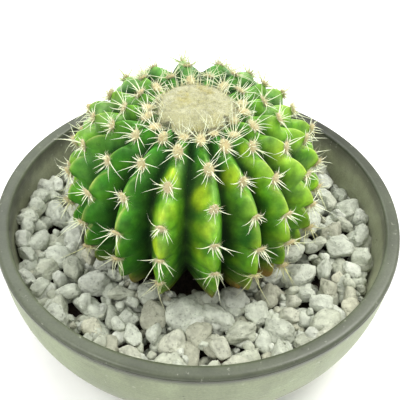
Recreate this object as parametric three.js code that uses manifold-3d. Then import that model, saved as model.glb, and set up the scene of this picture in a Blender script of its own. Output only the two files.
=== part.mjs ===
// A round barrel cactus growing in a shallow stoneware bowl, top-dressed with pumice gravel.
// Millimetres, +Z up. The origin is the middle of the bowl's foot, on the surface it stands on.
import * as THREE from "three";
import { mergeVertices } from "three/addons/utils/BufferGeometryUtils.js";
import Module from "manifold-3d";

const wasm = await Module();
wasm.setup();

// Bowl: a shallow round bowl with a flat lip, a foot ring and one drainage hole.
const RIM_RADIUS = 72.5;
const BOWL_HEIGHT = 46;
const LIP_WIDTH = 5.1;
const LIP_DEPTH = 3.5;
const LIP_ROUNDING = 1;
const WALL_TOP_RADIUS = 72;
const WALL_THICKNESS = 4.6;
const WALL_ROUNDNESS = 2.3;
const FLOOR_THICKNESS = 5;
const FOOT_OUTER_RADIUS = 37.5;
const FOOT_INNER_RADIUS = 31;
const FOOT_HEIGHT = 2;
const DRAIN_RADIUS = 5;
const BOWL_SIDES = 54;
const WALL_STEPS = 5;

// Clearance that every piece keeps to the piece that it rests on or in.
const SEAT_GAP = 0.3;

// Soil and gravel, measured up from the foot.
const SOIL_TOP = 25;
const GRAVEL_BED_TOP = 31.5;
const HOLE_SIDES = 30;
const STONE_COUNT = 108;
const STONE_SMALLEST = 3.9;
const STONE_LARGEST = 6.9;
const STONE_MIDDLE_HEIGHT = 32.2;
const STONE_ROOM = 0.84;
const STONE_ROUNDS = 80;
const STONE_INNER_RADIUS = 31.5;
const STONE_OUTER_RADIUS = 65;
const STONE_JITTER = 0.17;
const STONE_SEED = 11;

// Cactus: a depressed globe of RIB_COUNT ribs. Its crests follow one profile, given by a polar
// angle that is 90 degrees at the apex and 0 at the widest girth.
const CACTUS_X = -2.1;
const CACTUS_Y = 2.4;
const RIB_COUNT = 18;
const FIRST_RIB_DEG = -102.7;
const GIRTH_RADIUS = 42.2;
const GIRTH_HEIGHT = 56.8;
const CROWN_RISE = 30.2;
const PROFILE_RADIUS_POWER = 0.71;
const PROFILE_HEIGHT_POWER = 0.81;
const BASE_ANGLE = -1.2;
const RIB_DEPTH = 9.2;
const DEPTH_POWER = 1.3;
const RIB_CURVE = 1.65;
const COLUMNS_PER_RIB = 4;
const BODY_ROWS = 14;
const RIBLESS_RADIUS = 11;
const RIB_FADE = 7;
const ROOT_NECK_RADIUS = 9;
const ROOT_TIP_RADIUS = 4;
const ROOT_TIP_HEIGHT = 12;

// Areoles: the woolly cushions along each crest that the spines grow from. Distances run down the
// crest from the apex. AREOLE_SHIFTS says how far each rib's row is shifted, in spacings.
const AREOLE_SPACING = 11.4;
const AREOLE_FIRST = 16;
const AREOLE_LAST = 73;
const AREOLE_SHIFTS = [
  0.53, 0, 0.43, 0.75, 0.39, 0.03, 0.64, 0.2, 0.7, 0.25, 0.75, 0.3, 0.8, 0.35, 0.6, 0, 0.58, 0.12,
];
const AREOLE_RADIUS = 2.9;
const AREOLE_RISE = 1.7;
const AREOLE_SINK = 1.2;
const AREOLE_FULL_SIZE_RADIUS = 27;
const SPINES_PER_AREOLE = 5;
const SPINE_LENGTH = 7.2;
const SPINE_RADIUS = 0.42;
const SPINE_SINK = 0.3;
const SPINE_LEAN_DEG = 50;
const LOWEST_SPINE_TIP = 38.2;

// Woolly crown: the felted cushion over the growing point, ringed by young spines.
const CROWN_RADIUS = 13.6;
const CROWN_THICKNESS = 3.4;
const CROWN_SIDES = 24;
const CROWN_SPINES = 34;
const CROWN_SPINE_LENGTH = 6.5;

const SEED = 20;

// A seeded random number from 0 to 1 (mulberry32), so that every build is the same.
let randomState = SEED;
function random() {
  randomState = (randomState + 0x6d2b79f5) | 0;
  let t = Math.imul(randomState ^ (randomState >>> 15), 1 | randomState);
  t = (t + Math.imul(t ^ (t >>> 7), 61 | t)) ^ t;
  return ((t ^ (t >>> 14)) >>> 0) / 4294967296;
}

function spread(amount) {
  return (random() * 2 - 1) * amount;
}

function smoothstep(t) {
  const c = Math.min(1, Math.max(0, t));
  return c * c * (3 - 2 * c);
}

// A closed geometry as a manifold-3d solid.
function toSolid(geometry) {
  const bare = geometry.index ? geometry.toNonIndexed() : geometry.clone();
  bare.deleteAttribute("normal");
  bare.deleteAttribute("uv");
  const merged = mergeVertices(bare, 1e-4);
  return new wasm.Manifold(
    new wasm.Mesh({
      numProp: 3,
      vertProperties: Float32Array.from(merged.attributes.position.array),
      triVerts: Uint32Array.from(merged.index.array),
    }),
  );
}

function toGeometry(solid) {
  const mesh = solid.getMesh();
  const geometry = new THREE.BufferGeometry();
  geometry.setAttribute("position", new THREE.BufferAttribute(mesh.vertProperties, 3));
  geometry.setIndex(new THREE.BufferAttribute(mesh.triVerts, 1));
  const faceted = geometry.toNonIndexed();
  faceted.computeVertexNormals();
  return faceted;
}

function joinAll(solids) {
  return solids.reduce((joined, next) => joined.add(next));
}

// A lathe about +Z from [radius, height] points that run up the outside and come down the inside.
function latheUp(points, sides) {
  const profile = points.map(([radius, height]) => new THREE.Vector2(radius, height));
  const lathe = new THREE.LatheGeometry(profile, sides);
  lathe.rotateX(Math.PI / 2);
  return lathe;
}

const LIP_UNDERSIDE = BOWL_HEIGHT - LIP_DEPTH;
const FLOOR_TOP = FOOT_HEIGHT + FLOOR_THICKNESS;

// A wall that curves up and out from a floor corner to the underside of the lip, as a list of
// [radius, height] points from the bottom up.
function curvedWall(floorRadius, floorHeight, topRadius) {
  const points = [];
  for (let i = 0; i <= WALL_STEPS; i++) {
    const turn = (i / WALL_STEPS) * (Math.PI / 2);
    const down = Math.cos(turn) ** 1.2;
    const bulge = (1 - down ** WALL_ROUNDNESS) ** (1 / WALL_ROUNDNESS);
    const radius = floorRadius + (topRadius - floorRadius) * bulge;
    points.push([radius, LIP_UNDERSIDE - (LIP_UNDERSIDE - floorHeight) * down]);
  }
  return points;
}

const OUTER_WALL = curvedWall(FOOT_OUTER_RADIUS, 0, WALL_TOP_RADIUS);
const INNER_WALL = curvedWall(
  FOOT_OUTER_RADIUS - WALL_THICKNESS, FLOOR_TOP, WALL_TOP_RADIUS - WALL_THICKNESS,
);

// The inner wall's radius at a height, read off the straight runs between its points.
function innerWallRadius(height) {
  const next = Math.max(1, INNER_WALL.findIndex((point) => point[1] >= height));
  const [below, above] = [INNER_WALL[next - 1], INNER_WALL[next]];
  const share = (height - below[1]) / (above[1] - below[1]);
  return below[0] + (above[0] - below[0]) * share;
}

function makeBowl() {
  const lipInner = RIM_RADIUS - LIP_WIDTH;
  const points = [
    [DRAIN_RADIUS, FOOT_HEIGHT],
    [FOOT_INNER_RADIUS - FOOT_HEIGHT / 2, FOOT_HEIGHT],
    [FOOT_INNER_RADIUS, 0],
    ...OUTER_WALL,
    [RIM_RADIUS, LIP_UNDERSIDE + LIP_ROUNDING],
    [RIM_RADIUS, BOWL_HEIGHT - LIP_ROUNDING],
    [RIM_RADIUS - LIP_ROUNDING, BOWL_HEIGHT],
    [lipInner + LIP_ROUNDING, BOWL_HEIGHT],
    [lipInner, BOWL_HEIGHT - LIP_ROUNDING],
    ...INNER_WALL.toReversed(),
    [DRAIN_RADIUS, FLOOR_TOP],
    [DRAIN_RADIUS, FOOT_HEIGHT],
  ];
  return latheUp(points, BOWL_SIDES);
}

// The crest's radius and height at a polar angle.
function crest(angle) {
  const sine = Math.sin(angle);
  return {
    radius: GIRTH_RADIUS * Math.max(0, Math.cos(angle)) ** PROFILE_RADIUS_POWER,
    height: GIRTH_HEIGHT + CROWN_RISE * Math.sign(sine) * Math.abs(sine) ** PROFILE_HEIGHT_POWER,
  };
}

// Stations down the crest from the apex, with the distance run, finely enough to measure by.
const CREST_STATIONS = 400;
const crestTable = [];
for (let i = 0, run = 0; i <= CREST_STATIONS; i++) {
  const angle = Math.PI / 2 + (BASE_ANGLE - Math.PI / 2) * (i / CREST_STATIONS);
  const here = crest(angle);
  const last = crestTable.at(-1);
  if (last) run += Math.hypot(here.radius - last.radius, here.height - last.height);
  crestTable.push({ ...here, run });
}

// The crest's radius, height and outward slope at a distance down from the apex.
function crestAt(run) {
  const reached = crestTable.findIndex((station) => station.run >= run);
  const next = reached < 0 ? CREST_STATIONS : Math.max(1, reached);
  const [above, below] = [crestTable[next - 1], crestTable[next]];
  const share = (run - above.run) / (below.run - above.run);
  const step = Math.hypot(below.radius - above.radius, below.height - above.height);
  return {
    radius: above.radius + (below.radius - above.radius) * share,
    height: above.height + (below.height - above.height) * share,
    alongRadius: (below.radius - above.radius) / step,
    alongHeight: (below.height - above.height) / step,
  };
}

const CREST_LENGTH = crestTable.at(-1).run;

function grooveDepth(radius) {
  return RIB_DEPTH * (radius / GIRTH_RADIUS) ** DEPTH_POWER * smoothstep((radius - RIBLESS_RADIUS) / RIB_FADE);
}

function ribAngle(rib) {
  return THREE.MathUtils.degToRad(FIRST_RIB_DEG + (rib * 360) / RIB_COUNT);
}

// A closed skin over rings of points between a top and a bottom point, each ring turning
// anticlockwise seen from above and lying below the one before.
function skin(top, rings, bottom) {
  const positions = [top, ...rings.flat(), bottom].flat();
  const columns = rings[0].length;
  const index = [];
  const at = (ring, column) => 1 + ring * columns + (column % columns);
  const last = rings.length * columns + 1;
  for (let column = 0; column < columns; column++) {
    index.push(0, at(0, column), at(0, column + 1));
    for (let ring = 0; ring < rings.length - 1; ring++) {
      const [a, b] = [at(ring, column), at(ring, column + 1)];
      const [c, d] = [at(ring + 1, column), at(ring + 1, column + 1)];
      index.push(a, c, d, a, d, b);
    }
    index.push(last, at(rings.length - 1, column + 1), at(rings.length - 1, column));
  }
  const geometry = new THREE.BufferGeometry();
  geometry.setAttribute("position", new THREE.Float32BufferAttribute(positions, 3));
  geometry.setIndex(index);
  return geometry;
}

// The ribbed body, with the root neck that it stands on in the soil.
function makeBody() {
  const columns = RIB_COUNT * COLUMNS_PER_RIB;
  const half = COLUMNS_PER_RIB / 2;
  const rings = [];
  for (let row = 0; row < BODY_ROWS; row++) {
    const run = RIBLESS_RADIUS + ((CREST_LENGTH - RIBLESS_RADIUS) * row) / (BODY_ROWS - 1);
    const here = crestAt(run);
    const depth = grooveDepth(here.radius);
    const ring = [];
    for (let column = 0; column < columns; column++) {
      const angle = ribAngle(column / COLUMNS_PER_RIB);
      const offCrest = Math.abs(((column + half) % COLUMNS_PER_RIB) - half) / half;
      const sunk = depth * offCrest ** RIB_CURVE;
      const radius = here.radius + sunk * here.alongHeight;
      const height = here.height - sunk * here.alongRadius;
      ring.push([radius * Math.cos(angle), radius * Math.sin(angle), height]);
    }
    rings.push(ring);
  }
  for (const [radius, height] of [[ROOT_NECK_RADIUS, SOIL_TOP], [ROOT_TIP_RADIUS, ROOT_TIP_HEIGHT]]) {
    rings.push(rings[0].map((_, column) => {
      const angle = ribAngle(column / COLUMNS_PER_RIB);
      return [radius * Math.cos(angle), radius * Math.sin(angle), height];
    }));
  }
  return skin([0, 0, crest(Math.PI / 2).height], rings, [0, 0, ROOT_TIP_HEIGHT - 1]);
}

// A three-sided needle whose root is at start, pointing along direction.
function makeNeedle(start, direction, length, radius) {
  const cone = new THREE.ConeGeometry(radius, length, 3);
  cone.translate(0, length / 2, 0);
  const turn = new THREE.Quaternion().setFromUnitVectors(new THREE.Vector3(0, 1, 0), direction);
  cone.applyQuaternion(turn);
  cone.translate(start.x, start.y, start.z);
  return toSolid(cone);
}

// One areole: a low cushion with as many sides as spines, and a star of spines out of its sides.
function makeAreole(place, outward, upward, size, turned) {
  const sideways = new THREE.Vector3().crossVectors(outward, upward);
  const cushion = new THREE.ConeGeometry(AREOLE_RADIUS, AREOLE_RISE + AREOLE_SINK, SPINES_PER_AREOLE);
  cushion.translate(0, (AREOLE_RISE - AREOLE_SINK) / 2, 0);
  cushion.rotateY(turned);
  cushion.scale(size, size, size);
  cushion.applyMatrix4(new THREE.Matrix4().makeBasis(sideways, outward, upward).setPosition(place));
  const pieces = [toSolid(cushion)];
  const root = place.clone().addScaledVector(outward, -SPINE_SINK * size);
  for (let i = 0; i < SPINES_PER_AREOLE; i++) {
    const around = turned + ((i + 0.5 + spread(0.06)) * 2 * Math.PI) / SPINES_PER_AREOLE;
    const lean = THREE.MathUtils.degToRad(SPINE_LEAN_DEG) + spread(0.12);
    const direction = outward.clone().multiplyScalar(Math.cos(lean));
    direction.addScaledVector(sideways, Math.sin(lean) * Math.sin(around));
    direction.addScaledVector(upward, Math.sin(lean) * Math.cos(around));
    const clear = direction.z < 0 ? (root.z - LOWEST_SPINE_TIP) / -direction.z : SPINE_LENGTH * 2;
    const length = Math.min(clear, SPINE_LENGTH * (1 + spread(0.15)));
    pieces.push(makeNeedle(root, direction, length, SPINE_RADIUS * size));
  }
  return joinAll(pieces);
}

// Every areole down every rib, each standing square to the crest where it sits.
function makeAreoles() {
  const areoles = [];
  for (let rib = 0; rib < RIB_COUNT; rib++) {
    const angle = ribAngle(rib);
    const away = new THREE.Vector3(Math.cos(angle), Math.sin(angle), 0);
    const first = AREOLE_FIRST + AREOLE_SHIFTS[rib] * AREOLE_SPACING;
    for (let run = first; run <= AREOLE_LAST; run += AREOLE_SPACING) {
      const here = crestAt(run);
      const upward = away.clone().multiplyScalar(-here.alongRadius).setZ(-here.alongHeight);
      const outward = away.clone().multiplyScalar(-here.alongHeight).setZ(here.alongRadius);
      const place = away.clone().multiplyScalar(here.radius).setZ(here.height);
      const size = Math.min(1, here.radius / AREOLE_FULL_SIZE_RADIUS);
      areoles.push(makeAreole(place, outward, upward, size, spread(0.5)));
    }
  }
  return areoles;
}

function makeCactus() {
  return toGeometry(joinAll([toSolid(makeBody()), ...makeAreoles()]));
}

// The felted cushion, with the youngest spines standing out of it in a loose ring.
function makeCrown() {
  const seat = crest(Math.PI / 2).height + SEAT_GAP;
  const seatAt = (radius) => crestAt(radius).height + SEAT_GAP;
  const ringAt = (radius, height, bump) => Array.from({ length: CROWN_SIDES }, (_, i) => {
    const angle = (i * 2 * Math.PI) / CROWN_SIDES;
    const reach = radius * (1 + bump * Math.sin(angle * 5 + radius));
    return [reach * Math.cos(angle), reach * Math.sin(angle), height + bump * 6 * Math.cos(angle * 4)];
  });
  const rings = [
    ringAt(CROWN_RADIUS * 0.45, seat + CROWN_THICKNESS * 0.92, 0.06),
    ringAt(CROWN_RADIUS * 0.8, seat + CROWN_THICKNESS * 0.66, 0.06),
    ringAt(CROWN_RADIUS, seat + CROWN_THICKNESS * 0.25, 0.04),
    ringAt(CROWN_RADIUS * 0.97, seatAt(CROWN_RADIUS), 0),
    ringAt(RIBLESS_RADIUS, seatAt(RIBLESS_RADIUS), 0),
  ];
  const pieces = [toSolid(skin([0, 0, seat + CROWN_THICKNESS], rings, [0, 0, seat]))];
  for (let i = 0; i < CROWN_SPINES; i++) {
    const angle = (i * 2 * Math.PI) / CROWN_SPINES + spread(0.04);
    const radius = CROWN_RADIUS * (i % 2 ? 0.62 : 0.8);
    const root = new THREE.Vector3(radius * Math.cos(angle), radius * Math.sin(angle), seat + 0.6);
    const lean = 0.5 + spread(0.3);
    const direction = new THREE.Vector3(Math.cos(angle), Math.sin(angle), 0)
      .multiplyScalar(Math.sin(lean)).setZ(Math.cos(lean));
    pieces.push(makeNeedle(root, direction, CROWN_SPINE_LENGTH * (1 + spread(0.15)), SPINE_RADIUS));
  }
  return toGeometry(joinAll(pieces));
}

// Outline of a filling that keeps SEAT_GAP inside the bowl's wall between two heights.
function fillProfile(bottom, top) {
  const between = INNER_WALL.map((point) => point[1]).filter((height) => height > bottom && height < top);
  const side = [bottom, ...between, top].map((height) => [innerWallRadius(height) - SEAT_GAP, height]);
  return [[0, bottom], ...side, [0, top]];
}

// Potting soil that fills the bowl up to SOIL_TOP, with a plain hole for the root neck.
function makeSoil() {
  const bottom = FLOOR_TOP + SEAT_GAP;
  const soil = toSolid(latheUp(fillProfile(bottom, SOIL_TOP), BOWL_SIDES));
  const hole = toSolid(latheUp([
    [0, ROOT_TIP_HEIGHT - 1 - SEAT_GAP],
    [ROOT_TIP_RADIUS + SEAT_GAP, ROOT_TIP_HEIGHT - SEAT_GAP],
    [ROOT_NECK_RADIUS + SEAT_GAP * 1.5, SOIL_TOP + 1],
    [0, SOIL_TOP + 1],
  ], HOLE_SIDES)).translate([CACTUS_X, CACTUS_Y, 0]);
  return toGeometry(soil.subtract(hole));
}

// The larger stones on top of the gravel: where each lies, and its size, proportions and turn.
// They start spread by the golden angle, and are pushed apart until none takes another's room.
function placeStones() {
  randomState = STONE_SEED;
  const goldenAngle = Math.PI * (3 - Math.sqrt(5));
  const [inner, outer] = [STONE_INNER_RADIUS ** 2, STONE_OUTER_RADIUS ** 2];
  const stones = [];
  for (let i = 0; i < STONE_COUNT; i++) {
    const radius = Math.sqrt(inner + ((outer - inner) * (i + 0.5)) / STONE_COUNT);
    const angle = i * goldenAngle + spread(0.1);
    stones.push({
      x: radius * Math.cos(angle),
      y: radius * Math.sin(angle),
      z: STONE_MIDDLE_HEIGHT + spread(0.6),
      size: STONE_SMALLEST + (STONE_LARGEST - STONE_SMALLEST) * random() ** 1.3,
      width: 0.74 + spread(0.16),
      thickness: 0.6 + spread(0.1),
      tilt: spread(0.35),
      turn: random() * 2 * Math.PI,
    });
  }
  for (let round = 0; round < STONE_ROUNDS; round++) {
    for (let i = 0; i < STONE_COUNT; i++) {
      for (let j = 0; j < i; j++) pushApart(stones[i], stones[j]);
    }
    for (const stone of stones) {
      keepBetween(stone, CACTUS_X, CACTUS_Y, STONE_INNER_RADIUS + stone.size * 0.6, Infinity);
      keepBetween(stone, 0, 0, 0, STONE_OUTER_RADIUS - stone.size * 0.75);
    }
  }
  return stones;
}

function pushApart(first, second) {
  const [x, y] = [first.x - second.x, first.y - second.y];
  const gap = Math.hypot(x, y);
  const room = STONE_ROOM * (first.size + second.size);
  if (gap >= room) return;
  const share = (0.4 * (room - gap)) / gap;
  first.x += x * share;
  first.y += y * share;
  second.x -= x * share;
  second.y -= y * share;
}

// Moves a stone straight in or out, until it is from nearest to farthest away from a centre.
function keepBetween(stone, x, y, nearest, farthest) {
  const away = Math.hypot(stone.x - x, stone.y - y);
  const grow = Math.min(farthest, Math.max(nearest, away)) / away;
  stone.x = x + (stone.x - x) * grow;
  stone.y = y + (stone.y - y) * grow;
}

// One rough pumice stone, an icosahedron with its corners moved at random.
function makeStone({ x, y, z, size, width, thickness, tilt, turn }) {
  const ball = new THREE.IcosahedronGeometry(1, 0);
  const stone = mergeVertices(ball.deleteAttribute("normal").deleteAttribute("uv"), 1e-4);
  const corners = stone.attributes.position;
  for (let i = 0; i < corners.count; i++) {
    const grow = 1 + spread(STONE_JITTER);
    corners.setXYZ(i, corners.getX(i) * grow, corners.getY(i) * grow, corners.getZ(i) * grow);
  }
  stone.scale(size, size * width, size * thickness);
  stone.rotateX(tilt);
  stone.rotateZ(turn);
  stone.translate(x, y, z);
  return stone;
}

// The gravel dressing: a bed with the larger stones half sunk in it.
function makeGravel() {
  const bottom = SOIL_TOP + SEAT_GAP;
  const pieces = [toSolid(latheUp(fillProfile(bottom, GRAVEL_BED_TOP), BOWL_SIDES))];
  for (const stone of placeStones()) pieces.push(toSolid(makeStone(stone)));
  const clearance = SEAT_GAP * 2;
  const plant = [[0, bottom - 1], [ROOT_NECK_RADIUS + clearance, bottom - 1]];
  for (const share of [1, 0.93, 0.86, 0.79, 0.72, 0.6]) {
    const here = crestAt(CREST_LENGTH * share);
    plant.push([here.radius + clearance, here.height - clearance]);
  }
  plant.push([0, plant.at(-1)[1]]);
  const hole = toSolid(latheUp(plant, HOLE_SIDES)).translate([CACTUS_X, CACTUS_Y, 0]);
  const room = toSolid(latheUp(fillProfile(bottom, LIP_UNDERSIDE), BOWL_SIDES));
  return toGeometry(joinAll(pieces).intersect(room).subtract(hole));
}

function finish(color, roughness) {
  return new THREE.MeshStandardMaterial({ color, roughness, metalness: 0, flatShading: true });
}

function addNode(parent, name, geometry, material) {
  const mesh = new THREE.Mesh(geometry, material);
  mesh.name = name;
  parent.add(mesh);
}

const stoneware = finish(0x8b8f7f, 0.7);
const soilBrown = finish(0x4a3b2c, 0.95);
const pumice = finish(0xb9b6a6, 0.9);
const cactusGreen = finish(0x4f9a2c, 0.45);
const cream = finish(0xd9cf9e, 0.95);

const pottedCactus = new THREE.Group();
addNode(pottedCactus, "bowl", makeBowl(), stoneware);
addNode(pottedCactus, "soil", makeSoil(), soilBrown);
addNode(pottedCactus, "gravel", makeGravel(), pumice);

const plant = new THREE.Group();
plant.position.set(CACTUS_X, CACTUS_Y, 0);
addNode(plant, "cactus", makeCactus(), cactusGreen);
addNode(plant, "crown_wool", makeCrown(), cream);
pottedCactus.add(plant);

export default pottedCactus;
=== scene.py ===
"""A round barrel cactus in a shallow stoneware bowl, top-dressed with pumice gravel.

Lengths are in millimetres, with +Z up and the origin in the middle of the bowl's foot, and each
mesh is scaled to metres when it is made.
"""
import math

import bmesh
import bpy
import numpy as np
from mathutils import Matrix, Vector, noise


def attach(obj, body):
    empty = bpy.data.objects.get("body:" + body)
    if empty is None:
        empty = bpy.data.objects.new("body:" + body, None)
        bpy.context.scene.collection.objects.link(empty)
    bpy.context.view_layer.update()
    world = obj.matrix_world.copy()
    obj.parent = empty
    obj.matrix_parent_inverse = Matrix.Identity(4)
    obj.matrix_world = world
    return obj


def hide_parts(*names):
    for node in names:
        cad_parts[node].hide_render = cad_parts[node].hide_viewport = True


MM = 0.001

# Bowl
RIM_RADIUS = 72.5
BOWL_HEIGHT = 46.0
LIP_WIDTH = 5.1
LIP_DEPTH = 3.5
WALL_TOP_RADIUS = 72.0
WALL_THICKNESS = 4.6
WALL_ROUNDNESS = 2.3
FLOOR_TOP = 7.0
FOOT_OUTER_RADIUS = 37.5
FOOT_INNER_RADIUS = 31.0
FOOT_HEIGHT = 2.0
DRAIN_RADIUS = 5.0
BOWL_SEGMENTS = 300
DUST_LINE = 39.0
# The turn towards which painted shade and reflection leave the rim darkest.
RIM_SHADE_TURN = math.radians(55)
# The turn towards which painted light leaves the outer wall darkest.
WALL_SHADE_TURN = math.radians(-125)

# Gravel: the larger stones on top, a lower layer under them, and chips in the gaps.
SOIL_TOP = 25.0
STONE_INNER_RADIUS = 31.5
STONE_OUTER_RADIUS = 65.0
STONE_ROOM = 0.84
STONE_ROUNDS = 80
STONE_PLANES = 17
STONE_SHARPNESS = 26
TOP_STONES = {"seed": 11, "count": 108, "smallest": 3.9, "largest": 6.9, "middle": 32.2}
LOWER_STONES = {"seed": 5, "count": 110, "smallest": 4.4, "largest": 6.4, "middle": 29.4}
CHIP_COUNT = 470
CHIP_SIZES = (1.3, 4.3)
CHIP_TRIES = 14
CHIP_INNER_RADIUS = 26.0
CHIP_OUTER_RADIUS = 66.5
CHIP_PLANT_GAP = 28.5
FINE_CHIP = 3.0

# The first chips line the wall, closer together towards -X. Each lies a few places past the last.
WALL_CHIPS = 60
WALL_CHIP_RADIUS = 67.6
WALL_CHIP_STRIDE = 7
WALL_CHIP_CROWDING = 0.62

# Plant. Crests follow one profile, by a polar angle that is 90 degrees at the apex.
PLANT_X = -2.1
PLANT_Y = 2.4
RIB_COUNT = 18
FIRST_RIB = math.radians(-102.7)
RIB_ANGLE = 2 * math.pi / RIB_COUNT
GIRTH_RADIUS = 42.2
GIRTH_HEIGHT = 56.8
CROWN_RISE = 30.2
PROFILE_RADIUS_POWER = 0.71
PROFILE_HEIGHT_POWER = 0.81
BASE_ANGLE = -1.2
RIB_DEPTH = 9.2
DEPTH_POWER = 1.3
FOOT_DEEPENING = 0.35
CREST_ROUNDING = 0.2
VALLEY_ROUNDING = 0.09
FLANK_POWER = 1.3
BODY_START = 6.0
BODY_ROWS = 130
COLUMNS_PER_RIB = 24
BODY_MIDDLE = np.array([0.0, 0.0, 50.0])
APEX_HEIGHT = 86.8
NECK_RINGS = [(9.0, SOIL_TOP), (4.0, 12.0)]
NECK_TIP = 11.0
HUMP_HEIGHT = 1.9
HUMP_LEAD = 0.9
CREST_STATIONS = 600

# Where the ribs, their humps and their swell fade in, by radius, and where the foot and its tucked
# underside fade out, by height.
RIBS_FROM = (8, 18)
HUMPS_FROM = (10, 24)
SWELL_FROM = (20, 36)
FOOT_UP_TO = (34, 50)
TUCK_UP_TO = (33, 42)

# The back shoulder: lower humps, fuller crests, and valleys that are fuller still.
SHOULDER_CALM = 0.45
SHOULDER_SWELL = 2.3
SHOULDER_FILL = 1.1

# Areoles, by their distance down the crest from the apex. Each rib has its row's shift, in
# spacings, and its crest's lean to the side, in radians.
AREOLE_SPACING = 11.4
AREOLE_FIRST = 16.0
AREOLE_YOUNGEST = 12.2
YOUNG_SPACING = 7.5
AREOLE_LAST = 72.0
AREOLE_SHIFTS = np.array([
    0.53, 0, 0.43, 0.75, 0.39, 0.03, 0.64, 0.2, 0.7,
    0.25, 0.75, 0.3, 0.8, 0.35, 0.6, 0, 0.58, 0.12,
])
RIB_LEAN = np.array([
    0, 0.07, 0.02, -0.03, 0, 0.02, -0.02, 0.03, 0,
    -0.03, 0.02, 0.04, -0.02, 0, 0.02, -0.03, 0, 0.01,
])

# Spines and felt. The youngest areoles and those at the back have more radial spines.
RADIAL_SPINES = 10
YOUNG_SPINES = 2
BACK_SPINES = 3
CENTRAL_SPINES = 3
RADIAL_LENGTHS = (5.2, 8.4)
CENTRAL_LENGTHS = (5.8, 8.8)
RADIAL_LEANS = (0.85, 1.3)
CENTRAL_LEANS = (0.2, 0.7)
SPINE_RADII = (0.18, 0.27)
PAD_WIDTH = 1.35
PAD_LENGTH = 1.8
PAD_THICKNESS = 0.6
PAD_FIBRES = 120
PAD_FIBRE_LENGTHS = (0.7, 1.8)
PAD_FIBRE_RADIUS = 0.06

# Woolly crown
CROWN_RADIUS = 12.8
CROWN_THICKNESS = 3.0
CROWN_RINGS = 26
CROWN_SEGMENTS = 120
CROWN_FIBRES = 8000
CROWN_FIBRE_LENGTHS = (0.8, 2.1)
CROWN_FIBRE_RADIUS = 0.05
CROWN_SPINES = 76
CROWN_SPINE_LENGTHS = (4.2, 7.6)
CROWN_SPINE_RADII = (0.14, 0.2)

# Camera: CAMERA_DISTANCE from the middle of the rim, for a square frame of FRAME pixels.
FRAME = 400
CAMERA_DISTANCE = 3.5 * RIM_RADIUS
CAMERA_ELEVATION = math.radians(44.1)
CAMERA_ROLL = math.radians(2.03)
FOCAL_PIXELS = 698.0
RIM_CENTRE_PIXEL = (198.4, 204.6)
SENSOR_WIDTH = 36.0

# Light, in metres and watts: each lamp's name, place, width, power and colour.
LAMP_TARGET = (0, 0, 0.05)
LAMPS = [
    ("key", (0.4, 0.2, 0.75), 0.5, 6.5, (1.0, 0.99, 0.95)),
    ("back", (-0.28, 0.5, 0.75), 0.6, 2.4, (0.97, 0.99, 1.0)),
    ("fill", (-0.5, -0.25, 0.8), 0.5, 4.0, (1.0, 1.0, 0.98)),
]
FLOOR_HALF = 3.0

PLANT_PLACE = np.array([PLANT_X, PLANT_Y, 0.0])

rng = np.random.default_rng(7)


def linear(red, green, blue):
    """An 8-bit display colour as scene-linear RGB."""
    colour = np.array([red, green, blue]) / 255.0
    return np.where(colour <= 0.04045, colour / 12.92, ((colour + 0.055) / 1.055) ** 2.4)


def step(value, start, end):
    """0 before start, 1 after end, and smooth between."""
    share = np.clip((value - start) / (end - start), 0.0, 1.0)
    return share * share * (3.0 - 2.0 * share)


def mix(first, second, share):
    """Blends two colours, or arrays of them, by share."""
    share = np.asarray(share)[..., None]
    return np.asarray(first) * (1.0 - share) + np.asarray(second) * share


def rough(points, scale, shift=0.0):
    """Smooth noise from about -1 to 1 at each point, with lumps about 1 / scale across."""
    offset = Vector((shift, shift * 1.7, shift * 0.6))
    return np.array([noise.noise(Vector(point) * scale + offset) for point in points])


def unit(vectors):
    """The vectors at a length of 1."""
    return vectors / np.maximum(np.linalg.norm(vectors, axis=-1, keepdims=True), 1e-9)


def bell(value):
    """1 at zero, and smoothly down to almost nothing two away from it."""
    return np.exp(-(value**2))


def polar(radius, turn, height):
    """Points at a radius and a turn about the axis, at a height."""
    spots = np.broadcast_arrays(radius * np.cos(turn), radius * np.sin(turn), height)
    return np.stack(spots, axis=-1)


# Building pieces


def add_object(name, data):
    """A mesh, lamp or camera in the scene."""
    thing = bpy.data.objects.new(name, data)
    bpy.context.collection.objects.link(thing)
    return thing


def add_piece(name, points, faces, material, node, tint):
    """A smooth piece from points in millimetres and a list of face arrays, with a tint for each
    point, which stands for a node of the frame."""
    mesh = bpy.data.meshes.new(name)
    corners = [face for group in faces for face in np.asarray(group).tolist()]
    mesh.from_pydata((np.asarray(points) * MM).tolist(), [], corners)
    mesh.shade_smooth()
    layer = mesh.color_attributes.new("tint", "FLOAT_COLOR", "POINT")
    colours = np.ones((len(points), 4), dtype=np.float32)
    colours[:, :3] = tint
    layer.data.foreach_set("color", colours.ravel())
    mesh.materials.append(material)
    piece = add_object(name, mesh)
    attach(piece, "root")
    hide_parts(node)


def ring_faces(rows, columns):
    """Quads between rows of points, where each row is a closed ring."""
    first = np.arange((rows - 1) * columns)
    second = first // columns * columns + (first + 1) % columns
    return np.stack([first, second, second + columns, first + columns], axis=1)


def capped_faces(rows, columns):
    """Faces over rows of rings, closed by the two points that come after the rows."""
    column = np.arange(columns)
    beside = (column + 1) % columns
    top, last = rows * columns, (rows - 1) * columns
    lid = np.stack([np.full(columns, top), column, beside], axis=1)
    base = np.stack([np.full(columns, top + 1), beside + last, column + last], axis=1)
    return [ring_faces(rows, columns)[:, ::-1], lid, base]


def unit_ball(subdivisions):
    """Points and triangles of an icosphere of radius 1."""
    ball = bmesh.new()
    bmesh.ops.create_icosphere(ball, subdivisions=subdivisions, radius=1.0)
    points = np.array([vertex.co[:] for vertex in ball.verts])
    faces = np.array([[vertex.index for vertex in face.verts] for face in ball.faces])
    ball.free()
    return points, faces


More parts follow.
